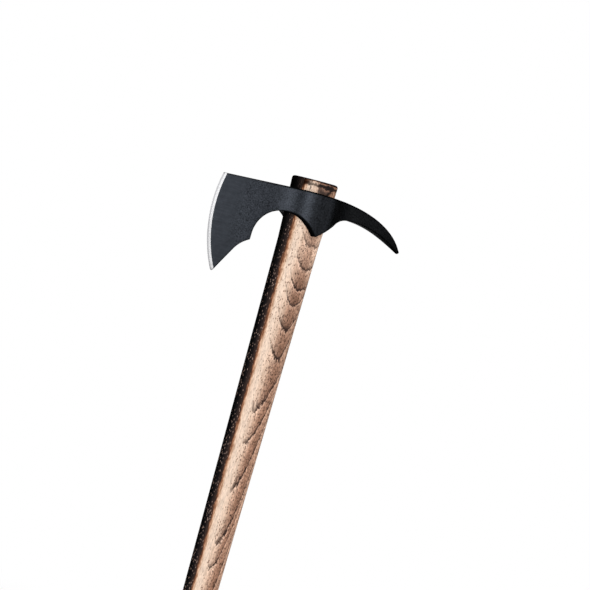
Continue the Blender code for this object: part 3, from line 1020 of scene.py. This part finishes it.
def steel_material():
    shader = Shader("phosphated_steel")
    edge = shader.attribute("edge")
    grain = shader.noise(GRAIN_CELL, detail=1.0)
    brush = shader.noise(BRUSH_CELL)
    grind = shader.noise(GRIND_CELL)

    # Brushed near the edge, grainy elsewhere, and bare on the ground edge
    brushed = shader.rise(edge, 0.012, 0.028, 1.0, 0.0)
    grainy = shader.rise(grain, 0.25, 0.75, 0.45, 1.55)
    texture = shader.mix(brushed, grainy, shader.spread(brush, 0.89, 1.11))
    ground = shader.rise(edge, EDGE_BEVEL - BEVEL_BLUR, EDGE_BEVEL + BEVEL_BLUR, 1.0, 0.0)
    dark = finish_with_painted_shade(shader, shader.axis("X"), texture)
    colour = shader.mix(ground, dark, ground_edge(shader, edge, grind))
    rough = shader.mix(ground, shader.spread(grain, *STEEL_ROUGHNESS), shader.spread(grind, *BEVEL_ROUGHNESS))
    relief = shader.mix(ground, shader.mix(brushed, grain, brush), grind)
    shader.set(Base_Color=colour, Roughness=rough, Metallic=1.0, Specular_Tint=STEEL_SPECULAR_TINT)
    shader.bump(relief, STEEL_RELIEF)
    return shader.material


def mark_creases(mesh, depth):
    """Keeps the shading apart along the lines where the ground edge's facets meet."""
    ends = np.empty(len(mesh.edges) * 2, np.int32)
    mesh.edges.foreach_get("vertices", ends)
    end_depths = depth[ends.reshape(-1, 2)]
    sharp = mesh.attributes["sharp_edge"].data
    for crease in CREASES:
        for index in np.flatnonzero((np.abs(end_depths - crease) < CREASE_REACH).all(axis=1)):
            sharp[index].value = True


def head_mesh():
    """The head with its eye, as a mesh, with each point's distances to the edges that its finish follows."""
    blank = new_object("head_blank", head_solid())
    cutter = eye_cutter()
    modifier = blank.modifiers.new("eye", "BOOLEAN")
    modifier.operation = "DIFFERENCE"
    modifier.solver = "EXACT"
    modifier.object = cutter
    depsgraph = bpy.context.evaluated_depsgraph_get()
    mesh = bpy.data.meshes.new_from_object(blank.evaluated_get(depsgraph))
    bpy.data.objects.remove(blank)
    bpy.data.objects.remove(cutter)
    mesh.name = "head_forging"
    mesh.shade_smooth()
    mesh.set_sharp_from_angle(angle=SMOOTH_ANGLE)
    side_view = points_of(mesh)[:, (0, 2)] - (0, HEAD_TOP)
    depth = edge_distance(side_view)
    top_edge = RIM[:RIM[:, 0].argmax() + 1]
    set_attribute(mesh, "edge", depth)
    set_attribute(mesh, "rim", line_distance(side_view, RIM))
    set_attribute(mesh, "below_edge", line_distance(side_view, top_edge))
    mark_creases(mesh, depth)
    return mesh


def make_head():
    mesh = head_mesh()
    mesh.materials.clear()
    mesh.materials.append(steel_material())
    item = new_object("head_forging", mesh)
    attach(item, "head")
    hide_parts("head")


# Stage, light and camera

def seen_rays(tree):
    """1 for rays that show a background: from the camera, in reflections and through glass."""
    rays = tree.nodes.new("ShaderNodeLightPath")
    total = rays.outputs["Is Camera Ray"]
    for name in ("Is Glossy Ray", "Is Transmission Ray"):
        node = tree.nodes.new("ShaderNodeMath")
        node.operation = "MAXIMUM"
        tree.links.new(total, node.inputs[0])
        tree.links.new(rays.outputs[name], node.inputs[1])
        total = node.outputs[0]
    return total


def make_world():
    """A white surround that lights the object evenly and shows as plain white."""
    world = bpy.data.worlds.new("white_surround")
    world.use_nodes = True
    bpy.context.scene.world = world
    tree = world.node_tree
    background = tree.nodes["Background"]
    background.inputs["Color"].default_value = (*WHITE, 1.0)
    strength = tree.nodes.new("ShaderNodeMapRange")
    strength.inputs["To Min"].default_value = AMBIENT
    tree.links.new(seen_rays(tree), strength.inputs["Value"])
    tree.links.new(strength.outputs["Result"], background.inputs["Strength"])


def make_floor():
    """A round pale floor that keeps the shadow and fades into the white surround at its rim."""
    work = bmesh.new()
    place = Matrix.Translation((0, 0, -FLOOR_DROP))
    bmesh.ops.create_circle(work, cap_ends=True, segments=FLOOR_SIDES, radius=FLOOR_RADIUS, matrix=place)
    mesh = bpy.data.meshes.new("floor")
    work.to_mesh(mesh)
    work.free()
    shader = Shader("pale_floor")
    shader.set(Base_Color=FLOOR_COLOUR, Roughness=FLOOR_ROUGHNESS, Specular_IOR_Level=FLOOR_SPECULAR)
    radius = shader.node("VectorMath", {0: shader.place}, operation="LENGTH").outputs["Value"]
    share = shader.times(shader.rise(radius, *FLOOR_FADE), seen_rays(shader.tree))
    white = shader.node("Emission", {"Color": WHITE, "Strength": 1.0})
    mixed = shader.node("MixShader", {0: share, 1: shader.surface.outputs[0], 2: white.outputs[0]})
    shader.put(mixed.outputs[0], shader.tree.nodes["Material Output"].inputs["Surface"])
    mesh.materials.append(shader.material)
    new_object("floor", mesh)


def make_softbox(name, azimuth, radiance):
    """An upright soft light of that radiance, aimed at the head."""
    light = bpy.data.lights.new(name, "AREA")
    light.shape = "RECTANGLE"
    light.size = SOFTBOX_WIDTH
    light.size_y = SOFTBOX_HEIGHT
    light.energy = radiance * math.pi * SOFTBOX_WIDTH * SOFTBOX_HEIGHT
    item = new_object(name, light)
    level = math.cos(SOFTBOX_ELEVATION)
    way = Vector((math.sin(azimuth) * level, -math.cos(azimuth) * level, math.sin(SOFTBOX_ELEVATION)))
    item.location = AIM_POINT + way * SOFTBOX_DISTANCE
    item.rotation_euler = way.to_track_quat("Z", "Y").to_euler()
    item.visible_camera = False


def make_camera():
    """The photograph's view: level, from the blade's side, rolled so that the handle leans right."""
    data = bpy.data.cameras.new("camera")
    data.sensor_width = SENSOR_WIDTH
    data.lens = SENSOR_WIDTH * CAMERA_DISTANCE / (FRAME_PIXELS * METRES_PER_PIXEL)
    back = Vector((math.sin(CAMERA_AZIMUTH), -math.cos(CAMERA_AZIMUTH), 0))
    right = Vector((math.cos(CAMERA_AZIMUTH), math.sin(CAMERA_AZIMUTH), 0))
    up = Vector((0, 0, 1))
    across = right * math.cos(CAMERA_ROLL) + up * math.sin(CAMERA_ROLL)
    upward = up * math.cos(CAMERA_ROLL) - right * math.sin(CAMERA_ROLL)
    offset_across = (AIM_PIXEL[0] - FRAME_PIXELS / 2) * METRES_PER_PIXEL
    offset_up = (FRAME_PIXELS / 2 - AIM_PIXEL[1]) * METRES_PER_PIXEL
    place = AIM_POINT + back * CAMERA_DISTANCE - across * offset_across - upward * offset_up
    item = new_object("camera", data)
    turn = Matrix((across, upward, back)).transposed()
    item.matrix_world = Matrix.Translation(place) @ turn.to_4x4()
    bpy.context.scene.camera = item


make_handle()
make_head()
make_world()
make_floor()
make_softbox("key_light", KEY_AZIMUTH, KEY_RADIANCE)
make_softbox("back_light", BACK_AZIMUTH, BACK_RADIANCE)
make_softbox("side_light", SIDE_AZIMUTH, SIDE_RADIANCE)
make_camera()
bpy.context.scene.view_settings.view_transform = "Standard"
